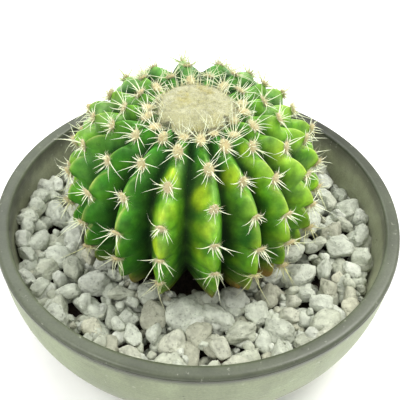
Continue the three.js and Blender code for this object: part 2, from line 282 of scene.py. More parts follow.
def hairs(roots, ways, bends, lengths, radii, sides, rings):
    """Tapered curved hairs, one for each root. Returns their points, triangles and how far each
    point is along its hair."""
    ways = unit(ways)
    helper = np.where(np.abs(ways[:, 2:3]) < 0.9, [[0.0, 0.0, 1.0]], [[1.0, 0.0, 0.0]])
    across = unit(np.cross(ways, helper))
    over = np.cross(ways, across)
    points = []
    for share in np.arange(rings) / rings:
        middle = roots + (ways * share + bends * share**2) * lengths[:, None]
        width = (radii * (1.0 - share) ** 0.8)[:, None]
        for turn in np.arange(sides) * 2 * math.pi / sides:
            points.append(middle + (across * math.cos(turn) + over * math.sin(turn)) * width)
    points.append(roots + (ways + bends) * lengths[:, None])
    points = np.stack(points, axis=1)
    side = np.arange(sides)
    tip = np.stack([side, (side + 1) % sides, np.full(sides, sides)], axis=1) + (rings - 1) * sides
    sleeve = ring_faces(rings, sides)[:, [0, 1, 2, 0, 2, 3]].reshape(-1, 3)
    starts = np.arange(len(roots)) * points.shape[1]
    faces = np.concatenate([sleeve, tip])[None] + starts[:, None, None]
    along = np.append(np.repeat(np.arange(rings) / rings, sides), 1.0)
    return points.reshape(-1, 3), faces.reshape(-1, 3), np.tile(along, len(roots))


def joined(parts):
    """One set of points, faces and tints from several."""
    points, faces, tints, start = [], [], [], 0
    for part_points, part_faces, part_tint in parts:
        points.append(part_points)
        faces.append(np.asarray(part_faces) + start)
        tints.append(np.broadcast_to(part_tint, (len(part_points), 3)))
        start += len(part_points)
    return np.concatenate(points), [np.concatenate(faces)], np.concatenate(tints)


# Materials


class Nodes:
    """A material's node tree, with short ways to add and join its nodes."""

    def __init__(self, name):
        self.material = bpy.data.materials.new(name)
        self.material.use_nodes = True
        self.tree = self.material.node_tree
        self.shader = self.tree.nodes["Principled BSDF"]

    def add(self, kind, values=None, **settings):
        node = self.tree.nodes.new(kind)
        for key, value in settings.items():
            setattr(node, key, value)
        for key, value in (values or {}).items():
            node.inputs[key].default_value = value
        return node

    def join(self, source, target):
        self.tree.links.new(source, target)

    def where(self):
        return self.add("ShaderNodeTexCoord").outputs["Object"]

    def noise(self, scale, detail=4.0, roughness=0.6, stretch=(1, 1, 1)):
        spot = self.add("ShaderNodeMapping", {"Scale": stretch})
        self.join(self.where(), spot.inputs["Vector"])
        values = {"Scale": scale, "Detail": detail, "Roughness": roughness}
        texture = self.add("ShaderNodeTexNoise", values)
        self.join(spot.outputs["Vector"], texture.inputs["Vector"])
        return texture.outputs["Fac"]

    def cells(self, scale):
        texture = self.add("ShaderNodeTexVoronoi", {"Scale": scale})
        self.join(self.where(), texture.inputs["Vector"])
        return texture.outputs["Distance"]

    def remap(self, source, low, high, to_low=0.0, to_high=1.0):
        values = {"From Min": low, "From Max": high, "To Min": to_low, "To Max": to_high}
        node = self.add("ShaderNodeMapRange", values)
        self.join(source, node.inputs["Value"])
        return node.outputs["Result"]

    def blend(self, share, first, second, mode="MIX"):
        """Mixes two colours, each a socket or a constant, by a socket or constant share."""
        node = self.add("ShaderNodeMix", data_type="RGBA", blend_type=mode)
        for place, value in ((0, share), (6, first), (7, second)):
            socket = node.inputs[place]
            if isinstance(value, bpy.types.NodeSocket):
                self.join(value, socket)
            elif np.ndim(value):
                socket.default_value = (*value, 1.0)
            else:
                socket.default_value = value
        return node.outputs[2]

    def times(self, first, second):
        return self.blend(1.0, first, second, "MULTIPLY")

    def tint(self):
        return self.add("ShaderNodeVertexColor", layer_name="tint").outputs["Color"]

    def bump(self, height, strength, distance, under=None):
        node = self.add("ShaderNodeBump", {"Strength": strength, "Distance": distance})
        self.join(height, node.inputs["Height"])
        if under is not None:
            self.join(under, node.inputs["Normal"])
        return node.outputs["Normal"]

    def finish(self, colour, roughness, normal=None, **constants):
        self.join(colour, self.shader.inputs["Base Color"])
        if isinstance(roughness, bpy.types.NodeSocket):
            self.join(roughness, self.shader.inputs["Roughness"])
        else:
            self.shader.inputs["Roughness"].default_value = roughness
        if normal is not None:
            self.join(normal, self.shader.inputs["Normal"])
        for key, value in constants.items():
            self.shader.inputs[key.replace("_", " ")].default_value = value
        return self.material


def make_stoneware():
    """Matte grey-green stoneware with fine iron specks, soft clouding and faint throwing lines."""
    nodes = Nodes("stoneware")
    clouds = nodes.remap(nodes.noise(28, 5), 0.35, 0.68)
    colour = nodes.blend(clouds, linear(74, 80, 63), linear(90, 97, 80))
    colour = nodes.times(colour, nodes.tint())
    colour = nodes.times(colour, nodes.remap(nodes.noise(1500, 2), 0.3, 0.7, 0.86, 1.1))
    smears = nodes.noise(120, 5, 0.7, stretch=(1, 1, 0.5))
    colour = nodes.times(colour, nodes.remap(smears, 0.3, 0.7, 0.84, 1.16))
    specks = nodes.remap(nodes.cells(330), 0.08, 0.15, 0.7, 0.0)
    specks = nodes.times(specks, nodes.remap(nodes.noise(120, 1), 0.57, 0.62))
    colour = nodes.blend(specks, colour, linear(48, 46, 34))
    pale = nodes.remap(nodes.noise(420, 3), 0.66, 0.74, 0.0, 0.4)
    colour = nodes.blend(pale, colour, linear(182, 184, 168))
    normal = nodes.bump(nodes.noise(60, 3, stretch=(1, 1, 16)), 0.25, 0.0006)
    normal = nodes.bump(nodes.noise(900, 4), 0.22, 0.0003, normal)
    return nodes.finish(colour, nodes.remap(clouds, 0, 1, 0.32, 0.48), normal)


def make_soil():
    """Dark crumbly potting soil."""
    nodes = Nodes("potting_soil")
    crumbs = nodes.noise(260, 6, 0.7)
    colour = nodes.blend(nodes.remap(crumbs, 0.35, 0.65), linear(28, 23, 18), linear(70, 57, 43))
    return nodes.finish(colour, 0.95, nodes.bump(crumbs, 0.9, 0.0015))


def make_pumice():
    """Chalky pumice: pale, with pits that are bumped and darkened with painted shade, fine grain and
    dusty faces.
    """
    nodes = Nodes("pumice")
    dust = nodes.remap(nodes.noise(330, 6, 0.7), 0.34, 0.66, 0.7, 1.09)
    colour = nodes.times(nodes.tint(), dust)
    pits = nodes.remap(nodes.cells(1000), 0.14, 0.36)
    gate = nodes.remap(nodes.noise(360, 2), 0.46, 0.54)
    pitted = nodes.blend(gate, (1.0, 1.0, 1.0), pits)
    # Painted shade: the pits are darker as well as bumped.
    colour = nodes.times(colour, nodes.remap(pitted, 0, 1, 0.74, 1.0))
    normal = nodes.bump(pitted, 0.5, 0.0006)
    normal = nodes.bump(nodes.noise(520, 6, 0.75), 0.9, 0.0009, normal)
    return nodes.finish(colour, 0.95, normal, Specular_IOR_Level=0.2)


def make_skin():
    """Waxy plant skin: its painted colour, fine mottling, and light that enters and spreads. Its
    dark valleys are matte, and its pale crests shine."""
    nodes = Nodes("cactus_skin")
    mottle = nodes.remap(nodes.noise(420, 4, 0.65), 0.3, 0.7, 0.78, 1.22)
    clouds = nodes.remap(nodes.noise(110, 4, 0.65, stretch=(1, 1, 0.6)), 0.35, 0.65, 0.72, 1.27)
    colour = nodes.times(nodes.times(nodes.tint(), mottle), clouds)
    brightness = nodes.add("ShaderNodeRGBToBW")
    nodes.join(colour, brightness.inputs["Color"])
    roughness = nodes.remap(brightness.outputs["Val"], 0.01, 0.14, 0.95, 0.42)
    flecks = nodes.remap(nodes.cells(1100), 0.08, 0.18, 0.07, 0.0)
    colour = nodes.blend(flecks, colour, linear(196, 208, 140))
    normal = nodes.bump(nodes.noise(900, 4), 0.12, 0.0003)
    normal = nodes.bump(nodes.noise(130, 3), 0.18, 0.0008, normal)
    return nodes.finish(
        colour, roughness, normal,
        Subsurface_Weight=0.2, Subsurface_Radius=(0.9, 1.0, 0.2), Subsurface_Scale=0.0016,
        Specular_IOR_Level=0.22,
    )


def make_spine():
    """Bone-like spines that let a little light through."""
    nodes = Nodes("spines")
    streaks = nodes.remap(nodes.noise(900, 3), 0.3, 0.7, 0.9, 1.06)
    return nodes.finish(
        nodes.times(nodes.tint(), streaks), 0.42,
        Subsurface_Weight=0.3, Subsurface_Radius=(1.0, 0.9, 0.6), Subsurface_Scale=0.0005,
    )


def make_wool():
    """Soft wool and felt, with a tangled surface and a faint sheen."""
    nodes = Nodes("wool")
    tangle = nodes.noise(1500, 5, 0.75)
    colour = nodes.times(nodes.tint(), nodes.remap(tangle, 0.3, 0.7, 0.88, 1.07))
    return nodes.finish(
        colour, 0.95, nodes.bump(tangle, 0.8, 0.0005),
        Subsurface_Weight=0.2, Subsurface_Radius=(1.0, 0.9, 0.6), Subsurface_Scale=0.001,
        Sheen_Weight=0.4, Sheen_Roughness=0.5, Specular_IOR_Level=0.1,
    )


# Bowl


def rounded(corners, steps=6):
    """A line through [radius, height, rounding] corners, each rounded off by its own length."""
    line = []
    for index, (radius, height, size) in enumerate(corners):
        spot = np.array([radius, height])
        if size == 0:
            line.append(spot)
            continue
        before = np.array(corners[index - 1][:2])
        after = np.array(corners[(index + 1) % len(corners)][:2])
        start, end = spot + unit(before - spot) * size, spot + unit(after - spot) * size
        for share in np.linspace(0, 1, steps):
            line.append(start * (1 - share) ** 2 + spot * 2 * share * (1 - share) + end * share**2)
    return np.array(line)


def curved_wall(floor_radius, floor_height, top_radius, steps=26):
    """[radius, height, 0] points of a wall that curves up from its floor to under the lip."""
    turn = np.linspace(0, math.pi / 2, steps)
    down = np.cos(turn) ** 1.2
    bulge = (1 - down**WALL_ROUNDNESS) ** (1 / WALL_ROUNDNESS)
    radius = floor_radius + (top_radius - floor_radius) * bulge
    top = BOWL_HEIGHT - LIP_DEPTH
    return [[r, h, 0] for r, h in zip(radius, top - (top - floor_height) * down)]


def outer_radius(height):
    """The outer wall's radius at a height."""
    wall = np.array(curved_wall(FOOT_OUTER_RADIUS, 0, WALL_TOP_RADIUS))
    return np.interp(height, wall[:, 1], wall[:, 0])


def make_bowl():
    """The bowl, turned from one closed profile that starts and ends at the drainage hole."""
    inner_radius = WALL_TOP_RADIUS - WALL_THICKNESS
    under_lip = BOWL_HEIGHT - LIP_DEPTH
    inner_wall = curved_wall(FOOT_OUTER_RADIUS - WALL_THICKNESS, FLOOR_TOP, inner_radius)
    profile = rounded([
        [DRAIN_RADIUS, FOOT_HEIGHT, 0.6],
        [FOOT_INNER_RADIUS - 1, FOOT_HEIGHT, 0.8],
        [FOOT_INNER_RADIUS, 0, 0.7],
        [FOOT_OUTER_RADIUS, 0, 0.8],
        *curved_wall(FOOT_OUTER_RADIUS, 0, WALL_TOP_RADIUS)[2:],
        [RIM_RADIUS, under_lip + 1, 1.0],
        [RIM_RADIUS, BOWL_HEIGHT, 1.7],
        [RIM_RADIUS - LIP_WIDTH, BOWL_HEIGHT, 1.5],
        [inner_radius, under_lip, 0.5],
        *inner_wall[::-1][1:],
        [DRAIN_RADIUS, FLOOR_TOP, 0.6],
    ])
    turn = np.arange(BOWL_SEGMENTS) * 2 * math.pi / BOWL_SEGMENTS
    points = polar(profile[:, :1], turn, profile[:, 1:]).reshape(-1, 3)
    faces = ring_faces(len(profile) + 1, BOWL_SEGMENTS) % len(points)
    add_piece("bowl_body", points, [faces], make_stoneware(), "bowl", bowl_tint(points))


PALE_OUTER_WALL = linear(255, 255, 240)
DUST_GREY = linear(205, 197, 196)


def lip_tint(radius, turn, clouds, fine):
    """The lip's mottled grey, with painted shade and reflection: darker at one side of the bowl and
    along its outer corner.
    """
    # Painted shade and reflection: the lip darkens towards the rim's shade turn.
    facing = np.cos(turn - RIM_SHADE_TURN)
    shade = 0.62 - 0.05 * facing - 0.24 * np.clip(facing, 0, 1) ** 4
    # Painted shade along the lip's outer corner.
    shade *= 1.05 - 0.25 * step(radius, RIM_RADIUS - 1.5, RIM_RADIUS)
    return [1.0, 1.0, 0.9] * (shade + 0.15 * clouds + 0.1 * fine)[:, None]


def outer_wall_share(radius, height):
    """1 on the outer wall, fading out at the lip, and 0 elsewhere."""
    outside = (radius > WALL_TOP_RADIUS - 1.2) | (height < 30)
    outside &= (radius > FOOT_OUTER_RADIUS) & (radius > outer_radius(height) - 2)
    return outside * step(BOWL_HEIGHT - height, LIP_DEPTH - 1.2, LIP_DEPTH + 1.6)


def bowl_tint(points):
    """A grey lip with paler worn edges and painted shade and reflection, a pale outer wall with painted
    light, and an inner wall that is dusty near the gravel, with painted shade under the lip and painted
    light that makes it brighter towards +X."""
    radius = np.hypot(points[:, 0], points[:, 1])
    height = points[:, 2]
    turn = np.arctan2(points[:, 1], points[:, 0])
    clouds = rough(points, 0.05, 3.0)
    fine = rough(points, 0.25, 9.0)
    tint = lip_tint(radius, turn, clouds, fine)
    # The outer wall is much paler than the lip, with painted light: lighter at one side of the bowl and
    # darker at the other.
    outer = PALE_OUTER_WALL * (2.7 - 0.4 * np.cos(turn - WALL_SHADE_TURN))[:, None]
    outer = outer * (1 + 0.08 * clouds[:, None])
    tint = mix(tint, outer, outer_wall_share(radius, height) * 0.95)
    edge = bell((radius - RIM_RADIUS + 0.5) / 0.5)
    edge += bell((radius - RIM_RADIUS + LIP_WIDTH - 0.5) / 0.5)
    tint = mix(tint, tint * 1.3, np.clip(edge, 0, 1) * (height > BOWL_HEIGHT - 2))
    inside = (radius < RIM_RADIUS - LIP_WIDTH + 0.5) & (height > FLOOR_TOP + 1)
    inside &= height < BOWL_HEIGHT - 1.0
    # Painted shade under the lip: the inner wall is darker in its top few millimetres.
    inner = 0.8 + 1.6 * step(BOWL_HEIGHT - height, 1.0, 9.0) + 0.5 * clouds + 0.4 * fine
    # Painted light: the inner wall is brighter towards +X.
    inner *= 0.95 + 0.25 * np.cos(turn)
    tint = mix(tint, [1.12, 1.0, 1.05] * inner[:, None], inside * 0.95)
    streaks = rough(points * [1, 1, 0.25], 0.4, 6.0)
    dust = step(fine + 0.9 * streaks + 0.3 - (height - DUST_LINE) / 3.0, 0.0, 0.8) * inside
    # The dust is heavier towards +X, which is partly painted light.
    return mix(tint, DUST_GREY * 6, dust * (0.55 + 0.2 * np.cos(turn)))


# Plant body


def crest_line():
    """The crest's distance run, radius, height and outward normal at close stations."""
    angle = np.linspace(math.pi / 2, BASE_ANGLE, CREST_STATIONS)
    sine = np.sin(angle)
    radius = GIRTH_RADIUS * np.maximum(0, np.cos(angle)) ** PROFILE_RADIUS_POWER
    radius[0] = 0
    height = GIRTH_HEIGHT + CROWN_RISE * np.sign(sine) * np.abs(sine) ** PROFILE_HEIGHT_POWER
    run = np.concatenate([[0], np.cumsum(np.hypot(np.diff(radius), np.diff(height)))])
    along = unit(np.stack([np.gradient(radius, run), np.gradient(height, run)], axis=1))
    return run, radius, height, -along[:, 1], along[:, 0]


CREST_RUN, CREST_RADIUS, CREST_HEIGHT, CREST_OUT, CREST_UP = crest_line()


def crest_at(run):
    """Radius, height, and the normal's outward and upward shares at a distance down the crest."""
    values = (CREST_RADIUS, CREST_HEIGHT, CREST_OUT, CREST_UP)
    return [np.interp(run, CREST_RUN, value) for value in values]


def groove(side, rounding):
    """How deep the flank has dropped, from 0 on the crest to 1 in the valley, both rounded."""
    side = 1 - np.sqrt((1 - side) ** 2 + VALLEY_ROUNDING**2) * (1 - side * VALLEY_ROUNDING)
    soft = (side**2 + rounding**2) ** (FLANK_POWER / 2) - rounding**FLANK_POWER
    full = (1 + rounding**2) ** (FLANK_POWER / 2) - rounding**FLANK_POWER
    return soft / full


def hump_phase(rib, run):
    """0 at an areole, and a full turn for each spacing down the rib."""
    return 2 * math.pi * ((run - AREOLE_FIRST) / AREOLE_SPACING - AREOLE_SHIFTS[rib])


def wander(rib, run):
    """How far a crest strays to the side of its straight course, in radians."""
    slow = np.sin(run * 0.055 + rib * 2.3) * 0.015 + np.sin(run * 0.13 + rib * 4.1) * 0.008
    return (slow + RIB_LEAN[rib]) * step(run, 14, 34)


def hump(rib, run):
    """The crest's crenation, up to about 1: it peaks just above each areole, and drops into a
    notch soon below it."""
    turn = hump_phase(rib, run) + HUMP_LEAD
    wave = np.cos(turn + 0.55 * (1 - np.cos(turn)))
    return 1.15 - 2.15 * ((1 - wave) / 2) ** 1.5


def back_shoulder(rib, run):
    """1 on the upper part of the ribs that face away, and 0 elsewhere."""
    facing = step(np.sin(FIRST_RIB + rib * RIB_ANGLE), 0.3, 0.9)
    return facing * step(run, 14, 30) * (1 - step(run, 42, 62))


def surface(rib, across, run):
    """Points of the skin. across is -1 and 1 in the valleys beside a rib, and 0 on its crest."""
    radius, height, out, up = crest_at(run)
    side = np.abs(across)
    low = 1 - step(height, *FOOT_UP_TO)
    shoulder = back_shoulder(rib, run)
    depth = RIB_DEPTH * (radius / GIRTH_RADIUS) ** DEPTH_POWER * step(radius, *RIBS_FROM)
    depth *= 1 + FOOT_DEEPENING * low
    wave = hump(rib, run)
    rise = HUMP_HEIGHT * (1 - SHOULDER_CALM * shoulder) * wave * (1 - side) ** 3.0
    rise *= step(radius, *HUMPS_FROM)
    swell = 0.5 * np.sin(rib * 1.9 + run * 0.05) * (1 - side) * step(radius, *SWELL_FROM)
    swell += SHOULDER_SWELL * shoulder * (1 + SHOULDER_FILL * side)
    rounding = CREST_ROUNDING + 0.16 * low + 0.3 * shoulder
    rounding = rounding + 0.45 * (1 - step(height, *TUCK_UP_TO))
    away = rise + swell - depth * groove(side * (1 - 0.06 * wave * (1 - side)), rounding)
    turn = FIRST_RIB + rib * RIB_ANGLE + across * RIB_ANGLE / 2
    turn = turn + wander(rib, run) * (1 - side**2)
    return polar(radius + away * out, turn, height + away * up)


# How lime, how patchy, how worn on its crest and how corky at its foot each rib is.
LIME_SHARE = np.array([
    0.42, 0.38, 0.32, 0.42, 0.72, 0.85, 0.5, 0.3, 0.2,
    0.15, 0.15, 0.2, 0.4, 0.75, 0.6, 0.15, 0.05, 0.08,
])
PATCH_SHARE = np.array([
    0.3, 0.12, 0.15, 0.25, 0.3, 0.3, 0.2, 0.15, 0.1,
    0.1, 0.1, 0.15, 0.3, 0.6, 0.4, 0.05, 0.0, 0.05,
])
EDGE_SHARE = np.array([
    0.15, 0.15, 0.35, 0.55, 0.6, 0.6, 0.4, 0.3, 0.3,
    0.3, 0.3, 0.3, 0.4, 0.5, 0.6, 0.75, 0.8, 0.7,
])
CORK_SHARE = np.array([
    0.12, 0.2, 0.55, 1, 1, 0.8, 0.5, 0.3, 0.3,
    0.3, 0.3, 0.3, 0.3, 0.3, 0.3, 0.3, 0.2, 0.1,
])
# Yellow patches on single ribs: rib, distance down the crest, place across, length, width, strength.
YELLOW_PATCHES = [
    (0, 30.0, -0.10, 3.0, 0.42, 0.75),
    (0, 40.0, 0.15, 3.0, 0.40, 0.55),
    (0, 52.5, -0.25, 3.4, 0.40, 0.80),
    (1, 34.5, -0.50, 3.6, 0.32, 0.90),
    (1, 45.5, -0.20, 3.0, 0.40, 0.50),
    (1, 57.0, -0.35, 3.0, 0.30, 0.30),
    (2, 29.5, -0.40, 3.8, 0.38, 1.10),
    (2, 51.0, -0.10, 2.6, 0.30, 0.30),
    (3, 26.0, -0.30, 3.4, 0.34, 0.50),
    (4, 33.0, -0.20, 4.0, 0.34, 0.40),
]
DEEP_GREEN = linear(16, 62, 8)
MID_GREEN = linear(50, 122, 18)
LIME_GREEN = linear(124, 182, 36)
BLUE_GREEN = linear(62, 122, 52)
PATCH_YELLOW = linear(168, 198, 40)
LIT_BAND_GREEN = linear(150, 190, 40)
CREST_OLIVE = linear(164, 172, 92)
MINT_BLOOM_AND_SHEEN = linear(150, 192, 116)
CORK = linear(186, 146, 74)


def greens(points, rib, side, run, slow, quick):
    """Deep green in the valleys, which is partly painted shade, brighter and limier towards the crests,
    and bluer at the back.
    """
    crestward = np.clip((1 - side) ** 0.9 + 0.3 * quick + 0.15 * slow, 0, 1)
    colour = mix(DEEP_GREEN, MID_GREEN, crestward)
    blotch = rough(points * [1, 1, 0.7], 0.42, 14.0) + 0.5 * rough(points, 1.1, 3.0)
    lime = LIME_SHARE[rib] * (0.5 + 0.8 * step(blotch, -0.25, 0.45)) + 0.25 * slow + 0.2 * quick
    colour = mix(colour, LIME_GREEN, np.clip(lime * (0.05 + crestward**1.15), 0, 1))
    behind = step(points[:, 1], 2, 34)
    return mix(colour, BLUE_GREEN, behind * 0.45 * (1 - side) + 0.15 * (1 - step(run, 15, 40)))


def bloom_and_sheen_share(rib, across, run, slow, streak):
    """Pale streaks by the crests, partly the skin's waxy coat and partly painted sheen, on the upper
    part of the limier ribs.
    """
    bloom_and_sheen = bell((across - 0.1 + 0.3 * slow) / 0.3) * (0.5 + 0.8 * streak) * step(run, 16, 24)
    bloom_and_sheen *= np.clip(1.8 * LIME_SHARE[rib], 0, 1)
    return np.clip(0.75 * bloom_and_sheen * (1 - step(run, 40, 60)), 0, 0.8)


def patch_strength(rib, across, run, slow, quick):
    """How yellow the skin is: a little above each areole, and more at the patches of single ribs."""
    above = np.exp((np.cos(hump_phase(rib, run) + 1.1 + 0.8 * slow) - 1) / 1.1)
    beside = bell((across + 0.22 + 0.35 * quick) / 0.5)
    patch = PATCH_SHARE[rib] * above * beside * step(run, 18, 28)
    for at_rib, at_run, at_across, length, width, strength in YELLOW_PATCHES:
        along = (run - at_run + 2 * quick) / length
        aside = (across - at_across + 0.2 * slow) / width
        patch += (rib == at_rib) * strength * np.exp(-((along**2 + aside**2) ** 1.4))
    return patch


def cork_share(height, rib, side, quick):
    """How corky the skin is near the gravel: more on the older ribs, and on every rib's foot."""
    cork = CORK_SHARE[rib] * (1 - step(height + 3 * quick, 37, 48)) * np.clip(1.2 - side * 1.3, 0, 1)
    cork += 0.5 * (1 - step(height + 2 * quick, 34, 42)) * (1 - side) ** 2
    return np.clip(cork, 0, 0.9)


def skin_tint(points, rib, across, run):
    """Greens with a pale waxy coat and painted sheen by the crests, yellow patches, a worn line along
    the crests with a wider band of painted light towards +X, corky tan at the gravel, and painted shade
    in the valleys and low down near the gravel."""
    side = np.abs(across)
    slow = rough(points, 0.06, 1.0)
    quick = rough(points, 0.22, 5.0)
    streak = rough(points * [1, 1, 0.35], 0.3, 8.0)
    colour = greens(points, rib, side, run, slow, quick)
    # Pale streaks by the upper crests: the skin's waxy coat, with painted sheen.
    colour = mix(colour, MINT_BLOOM_AND_SHEEN, bloom_and_sheen_share(rib, across, run, slow, streak))
    patch = patch_strength(rib, across, run, slow, quick) * (0.8 + 0.5 * slow + 1.1 * streak)
    colour = mix(colour, PATCH_YELLOW, np.clip(patch, 0, 0.85))
    worn = step(run, 24, 34) * EDGE_SHARE[rib]
    # Painted light: a wider bright band along the crests towards +X, on ribs with worn crests.
    lit_band = bell(side / 0.2) * worn * step(points[:, 0], -10, 18)
    lit_band *= np.clip(0.8 + 0.6 * quick + 0.6 * streak, 0, 1)
    colour = mix(colour, LIT_BAND_GREEN, lit_band)
    colour = mix(colour, CREST_OLIVE, bell(side / 0.06) * worn * np.clip(0.7 + quick, 0, 1))
    colour = mix(colour, CORK, cork_share(points[:, 2], rib, side, quick))
    shade = (1 - 0.6 * step(side, 0.35, 1.0)) * (1 - 0.3 * (1 - step(points[:, 2], 36, 52)))
    return colour * shade[:, None]


def make_body():
    """The ribbed body, closed under the wool at the crown and at the root's neck in the soil."""
    half = np.linspace(0, 1, COLUMNS_PER_RIB // 2 + 1) ** 1.15
    across = np.concatenate([-half[:0:-1], half[:-1]])
    columns = RIB_COUNT * len(across)
    rib = np.tile(np.repeat(np.arange(RIB_COUNT), len(across)), BODY_ROWS)
    run = np.repeat(np.linspace(BODY_START, CREST_RUN[-1], BODY_ROWS), columns)
    across = np.tile(across, RIB_COUNT * BODY_ROWS)
    points = surface(rib, across, run)
    points += unit(points - BODY_MIDDLE) * (0.22 * rough(points, 0.16, 2.0))[:, None]
    tint = skin_tint(points, rib, across, run)
    turn = np.arctan2(points[-columns:, 1], points[-columns:, 0])
    necks = [polar(radius, turn, height) for radius, height in NECK_RINGS]
    neck_tint = np.broadcast_to(CORK, (columns * len(NECK_RINGS), 3))
    points = np.concatenate([points, *necks, [[0, 0, APEX_HEIGHT], [0, 0, NECK_TIP]]])
    tint = np.concatenate([tint, neck_tint, [MID_GREEN, CORK]])
    faces = capped_faces(BODY_ROWS + len(NECK_RINGS), columns)
    add_piece("cactus_body", points + PLANT_PLACE, faces, make_skin(), "cactus", tint)


# Areoles and spines


def areole_at(rib, run):
    """One areole, a little off its even spacing: its place, its outward, upward and sideways
    directions, its age from 0 at the crown to 1 at the gravel, and its rib."""
    place = run + rng.uniform(-0.5, 0.5) + np.array([-1.5, 0, 1.5])
    above, here, below = surface(np.full(3, rib), np.zeros(3), place)
    up = unit(above - below)
    side = unit(np.cross([here[0], here[1], 0], [0, 0, 1.0]))
    out = np.cross(up, side)
    out = out if out @ (here - BODY_MIDDLE) > 0 else -out
    return {"at": here, "out": out, "up": up, "side": side, "age": step(run, 16, 74), "rib": rib}


def areoles():
    """Every areole, rib by rib and from the crown down. The youngest stand closer together."""
    found = []
    for rib in range(RIB_COUNT):
        first = AREOLE_FIRST + AREOLE_SHIFTS[rib] * AREOLE_SPACING
        young = np.arange(first, AREOLE_YOUNGEST, -YOUNG_SPACING)[::-1]
        grown = np.arange(first + AREOLE_SPACING, AREOLE_LAST, AREOLE_SPACING)
        found += [areole_at(rib, run) for run in np.concatenate([young, grown])]
    return found


SPINE_CREAM = linear(230, 236, 202)
SPINE_ROOT = linear(212, 208, 154)
SPINE_OLD = linear(200, 196, 118)
FELT_CREAM = linear(202, 196, 150)
FELT_TAN = linear(192, 170, 122)


def spine_star(areole):
    """The root, way, bend, length and radius of each of one areole's spines: a ring of radial ones
    and a few central ones. Older ones are shorter, thicker and less regular, and those on the
    front shoulder are shorter too."""
    at, out, up, side, age = (areole[key] for key in ("at", "out", "up", "side", "age"))
    backward = at[1] / GIRTH_RADIUS
    ring = RADIAL_SPINES + YOUNG_SPINES * (age < 0.3) + BACK_SPINES * (backward > 0.5)
    grown = (1.14 - 0.26 * age) * (1 + (0.33 * backward - 0.08) * bell((age - 0.3) / 0.2))
    start = rng.uniform(0, 2 * math.pi)
    star = []
    for index in range(ring + CENTRAL_SPINES):
        radial = index < ring
        count = ring if radial else CENTRAL_SPINES
        turn = (index + rng.uniform(-0.22, 0.22)) * 2 * math.pi / count
        turn += start * (1 if radial else 1.7)
        around = side * math.sin(turn) + up * math.cos(turn)
        lean = rng.uniform(*(RADIAL_LEANS if radial else CENTRAL_LEANS))
        lean -= 0.25 * abs(math.cos(turn)) * radial
        way = out * math.cos(lean) + around * math.sin(lean)
        length = rng.uniform(*(RADIAL_LENGTHS if radial else CENTRAL_LENGTHS)) * grown
        bend = around * rng.uniform(-0.3, 0.1) - out * rng.uniform(-0.15, 0.55)
        stray = np.clip(rng.normal(0, 0.2 + 0.5 * age**5, 3), -0.7, 0.7)
        droop = np.array([0, 0, -0.25 * age**3])
        radius = rng.uniform(*SPINE_RADII) * (0.82 + 0.24 * age)
        star.append((at - out * 0.5 + around * 0.35, way, bend + droop + stray, length, radius))
    return star


def make_spines(found, material):
    """The spines of every areole: cream, more tan at their roots, yellow with age on the corky ribs and
    at the gravel, and painted darker at the back as shade."""
    stars = [spine_star(areole) for areole in found]
    counts = [len(star) for star in stars]
    ages = np.repeat([areole["age"] for areole in found], counts)
    dry = np.repeat([CORK_SHARE[areole["rib"]] for areole in found], counts)
    spines = [spine for star in stars for spine in star]
    roots, ways, bends, lengths, radii = (np.array(values) for values in zip(*spines))
    points, faces, along = hairs(roots + PLANT_PLACE, ways, bends, lengths, radii, sides=5, rings=6)
    old = step(ages, 0.72, 1.0) * (0.25 + 0.6 * dry) + 0.5 * step(ages, 0.93, 1.0)
    old = np.repeat(np.clip(old, 0, 1), len(points) // len(roots))
    tint = mix(SPINE_ROOT, SPINE_CREAM, step(along, 0.0, 0.3))
    tint = mix(tint, SPINE_OLD, old * (1 - 0.5 * along))
    # Painted shade: the spines darken towards the back.
    tint *= 1 - [0.36, 0.3, 0.48] * step(points[:, 1], 8, 32)[:, None]
    add_piece("cactus_spines", points, [faces], material, "cactus", tint)


def felt_pad(areole, number, ball, ball_faces):
    """One areole's felt cushion and the short fibres standing out of it. Older ones are longer and
    more worn, and those at the back are smaller."""
    age, out = areole["age"], areole["out"]
    size = 1.0 + 0.15 * (1 - age) + 0.12 * (1 - step(age, 0, 0.06)) + rng.uniform(-0.1, 0.1)
    size -= 0.22 * step(areole["at"][1], 16, 32)
    up = areole["up"] * (PAD_LENGTH + 0.7 * age)
    axes = np.stack([areole["side"] * PAD_WIDTH, up, out * PAD_THICKNESS])
    centre = areole["at"] + out * 0.1
    lumps = 1 + 0.22 * rough(ball, 2.2, number * 3.1)
    points = (ball * lumps[:, None]) @ axes * size + centre
    worn = np.clip(0.35 + 0.3 * age + 0.8 * rough(ball, 1.6, number), 0, 1)
    pick = ball[rng.integers(0, len(ball), PAD_FIBRES)] @ axes
    roots = pick * size * 0.9 + centre
    ways = unit(pick + out * 0.5) + rng.normal(0, 0.35, (PAD_FIBRES, 3))
    bends = rng.normal(0, 0.4, (PAD_FIBRES, 3))
    lengths = rng.uniform(*PAD_FIBRE_LENGTHS, PAD_FIBRES)
    radii = np.full(PAD_FIBRES, PAD_FIBRE_RADIUS)
    fibres, triangles, along = hairs(roots, ways, bends, lengths, radii, sides=3, rings=2)
    return [
        (points, ball_faces, mix(FELT_CREAM, FELT_TAN, worn)),
        (fibres, triangles, mix(FELT_TAN, FELT_CREAM, 0.4 + 0.6 * along)),
    ]


def make_pads(found, wool):
    """The felt pads of all areoles, as one piece."""
    ball, ball_faces = unit_ball(2)
    parts = []
    for number, areole in enumerate(found):
        parts += felt_pad(areole, number, ball, ball_faces)
    points, faces, tint = joined(parts)
    add_piece("cactus_areoles", points + PLANT_PLACE, faces, wool, "cactus", tint)


# Woolly crown


WOOL_CREAM = linear(170, 169, 129)
WOOL_YELLOW = linear(166, 158, 89)
WOOL_PALE = linear(183, 183, 150)


